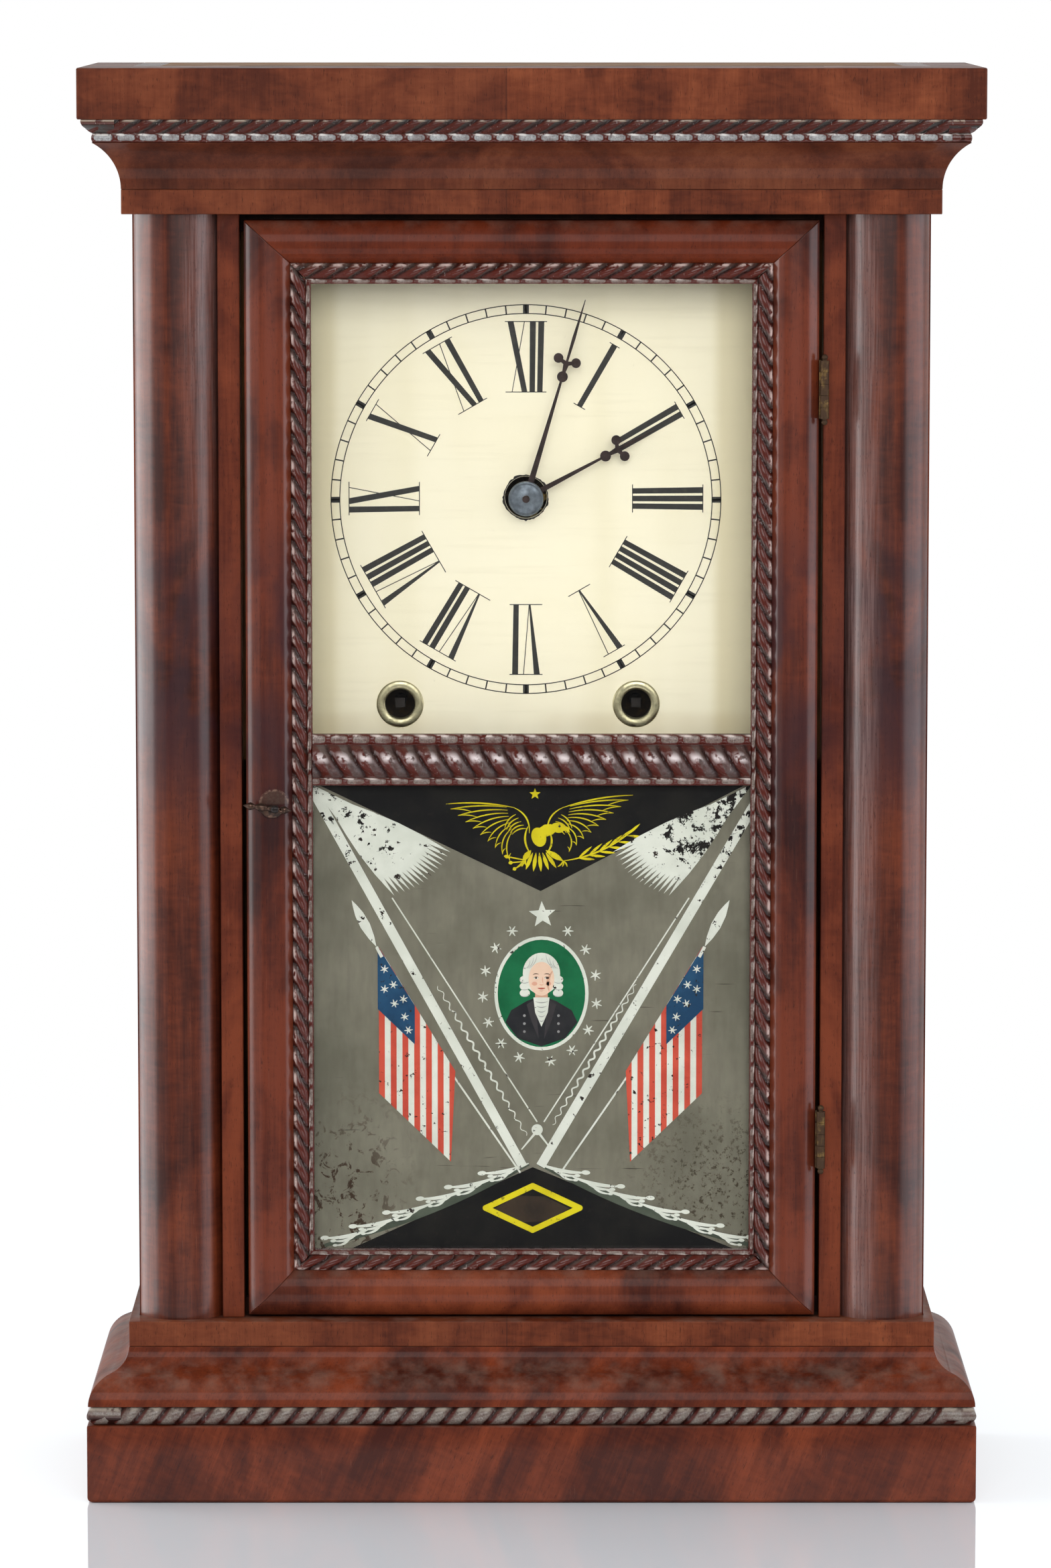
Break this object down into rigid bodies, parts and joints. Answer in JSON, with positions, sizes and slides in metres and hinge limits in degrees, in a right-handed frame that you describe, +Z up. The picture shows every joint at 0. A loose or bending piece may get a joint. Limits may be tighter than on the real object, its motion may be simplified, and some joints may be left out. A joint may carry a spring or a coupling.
{
  "type": "column shelf clock",
  "caption": "Wooden shelf clock with half-round columns, a hinged glazed door, painted dial, hands, spring-driven wheel train, pendulum, hammer and coil gong.",
  "frame": {"origin": "on the floor, under the middle of the case's box", "axes": "+Z up along the height, -Y out of the front, +X to the viewer's right"},
  "size_m": [0.395, 0.146, 0.635],
  "materials": {
    "mahogany": "glossy shellac",
    "dark_twist": "worn satin",
    "pine": "bare",
    "dial_paint": "painted cream, satin",
    "clear_glass": "polished",
    "painted_glass": "painted behind",
    "brass": "satin",
    "hinge_brass": "aged",
    "blued_steel": "blued",
    "steel": "aged",
    "dark_iron": "painted"
  },
  "bodies": {
    "case": {"back_board": "pine", "side_boards": "mahogany", "end_boards": "pine", "front_rails": "mahogany", "left_stile": "mahogany", "right_stile": "mahogany", "left_column": "mahogany", "right_column": "mahogany", "plinth": "mahogany", "base_twist": "dark_twist", "base_ogee": "mahogany", "base_fillet": "mahogany", "frieze": "mahogany", "cove": "mahogany", "cornice_twist": "dark_twist", "fascia": "mahogany", "dial_board": "dial_paint", "winding_grommets": "brass", "mounting_strips": "pine", "hinge_case_leaves": "hinge_brass", "hinge_pins": "hinge_brass", "front_plate": "brass", "back_plate": "brass", "plate_pillars": "brass", "movement_screws": "steel", "pendulum_cock": "brass", "mainsprings": "blued_steel", "gong": "dark_iron"},
    "door": {"door_left_stile": "mahogany", "door_right_stile": "mahogany", "door_top_rail": "mahogany", "door_bottom_rail": "mahogany", "door_crossbar": "mahogany", "crossbar_twist": "dark_twist", "door_twist_strips": "dark_twist", "dial_glass": "clear_glass", "tablet_glass": "painted_glass", "glazing_strips": "pine", "hinge_door_leaves": "hinge_brass", "latch_screw": "steel"},
    "latch": {"door_latch": "dark_iron"},
    "minute_hand_set": {"minute_hand": "blued_steel", "hand_washer": "blued_steel"},
    "hour_hand_set": {"hour_hand": "blued_steel", "hour_wheel": "brass"},
    "minute_wheel_set": {"minute_wheel": "brass"},
    "centre_wheel_set": {"centre_wheel": "brass"},
    "third_wheel_set": {"third_wheel": "brass"},
    "escape_wheel_set": {"escape_wheel": "brass"},
    "second_wheel_set": {"second_wheel": "brass"},
    "time_great_wheel_set": {"time_great_wheel": "brass"},
    "time_winding_arbor_set": {"time_winding_arbor": "steel"},
    "verge_set": {"verge": "steel"},
    "pendulum_set": {"pendulum": "brass"},
    "strike_great_wheel_set": {"strike_great_wheel": "brass"},
    "strike_winding_arbor_set": {"strike_winding_arbor": "steel"},
    "pin_wheel_set": {"pin_wheel": "brass"},
    "strike_third_wheel_set": {"strike_third_wheel": "brass"},
    "fly_set": {"fly": "brass"},
    "hammer_set": {"hammer": "steel"}
  },
  "joints": [
    {"name": "door_hinge", "type": "hinge", "parent": "case", "child": "door", "pos_m": [0.12868, -0.05, 0.324], "axis": [0, 0, 1], "range_deg": [0, 150]},
    {"name": "latch_turn", "type": "hinge", "parent": "door", "child": "latch", "pos_m": [-0.1135, -0.0518, 0.3086], "axis": [0, 1, 0], "range_deg": [0, 90]},
    {"name": "minute_hand_turn", "type": "hinge", "parent": "case", "child": "minute_hand_set", "pos_m": [-0.0025, -0.02, 0.444], "axis": [0, 1, 0], "continuous": true},
    {"name": "hour_hand_turn", "type": "hinge", "parent": "case", "child": "hour_hand_set", "pos_m": [-0.0025, -0.02, 0.444], "axis": [0, 1, 0], "continuous": true},
    {"name": "minute_wheel_turn", "type": "hinge", "parent": "case", "child": "minute_wheel_set", "pos_m": [0.01519, 0.004, 0.43161], "axis": [0, 1, 0], "continuous": true},
    {"name": "escape_wheel_turn", "type": "hinge", "parent": "case", "child": "escape_wheel_set", "pos_m": [-0.0025, 0.025, 0.488], "axis": [0, 1, 0], "continuous": true},
    {"name": "third_wheel_turn", "type": "hinge", "parent": "case", "child": "third_wheel_set", "pos_m": [0.01559, 0.025, 0.46755], "axis": [0, 1, 0], "continuous": true},
    {"name": "centre_wheel_turn", "type": "hinge", "parent": "case", "child": "centre_wheel_set", "pos_m": [-0.0025, 0.025, 0.444], "axis": [0, 1, 0], "continuous": true},
    {"name": "second_wheel_turn", "type": "hinge", "parent": "case", "child": "second_wheel_set", "pos_m": [0.03082, 0.025, 0.40382], "axis": [0, 1, 0], "continuous": true},
    {"name": "time_great_wheel_turn", "type": "hinge", "parent": "case", "child": "time_great_wheel_set", "pos_m": [0.0467, 0.025, 0.3515], "axis": [0, 1, 0], "continuous": true},
    {"name": "time_winding", "type": "hinge", "parent": "time_great_wheel_set", "child": "time_winding_arbor_set", "pos_m": [0.0467, 0.025, 0.3515], "axis": [0, 1, 0], "continuous": true},
    {"name": "fly_turn", "type": "hinge", "parent": "case", "child": "fly_set", "pos_m": [-0.0467, 0.025, 0.45989], "axis": [0, 1, 0], "continuous": true},
    {"name": "strike_third_wheel_turn", "type": "hinge", "parent": "case", "child": "strike_third_wheel_set", "pos_m": [-0.05129, 0.025, 0.43389], "axis": [0, 1, 0], "continuous": true},
    {"name": "pin_wheel_turn", "type": "hinge", "parent": "case", "child": "pin_wheel_set", "pos_m": [-0.04, 0.025, 0.40288], "axis": [0, 1, 0], "continuous": true},
    {"name": "strike_great_wheel_turn", "type": "hinge", "parent": "case", "child": "strike_great_wheel_set", "pos_m": [-0.0587, 0.025, 0.3515], "axis": [0, 1, 0], "continuous": true},
    {"name": "strike_winding", "type": "hinge", "parent": "strike_great_wheel_set", "child": "strike_winding_arbor_set", "pos_m": [-0.0587, 0.025, 0.3515], "axis": [0, 1, 0], "continuous": true},
    {"name": "pendulum_swing", "type": "hinge", "parent": "case", "child": "pendulum_set", "pos_m": [-0.0025, 0.053, 0.51063], "axis": [0, 1, 0], "range_deg": [-4, 4]},
    {"name": "verge_rock", "type": "hinge", "parent": "case", "child": "verge_set", "pos_m": [-0.0025, 0.045, 0.51063], "axis": [0, 1, 0], "range_deg": [-4, 4]},
    {"name": "hammer_lift", "type": "hinge", "parent": "case", "child": "hammer_set", "pos_m": [-0.0035, 0.045, 0.336], "axis": [0, 1, 0], "range_deg": [0, 12]}
  ],
  "couplings": [
    {"joint": "hour_hand_turn", "follows": "minute_hand_turn", "ratio": 0.083333},
    {"joint": "minute_wheel_turn", "follows": "minute_hand_turn", "ratio": -0.33333},
    {"joint": "escape_wheel_turn", "follows": "third_wheel_turn", "ratio": -12},
    {"joint": "centre_wheel_turn", "follows": "third_wheel_turn", "ratio": -0.1},
    {"joint": "second_wheel_turn", "follows": "third_wheel_turn", "ratio": 0.05},
    {"joint": "time_great_wheel_turn", "follows": "third_wheel_turn", "ratio": -0.00625},
    {"joint": "fly_turn", "follows": "strike_third_wheel_turn", "ratio": -10},
    {"joint": "pin_wheel_turn", "follows": "strike_third_wheel_turn", "ratio": -0.1},
    {"joint": "strike_great_wheel_turn", "follows": "strike_third_wheel_turn", "ratio": 0.0125},
    {"joint": "verge_rock", "follows": "pendulum_swing", "ratio": 1}
  ]
}
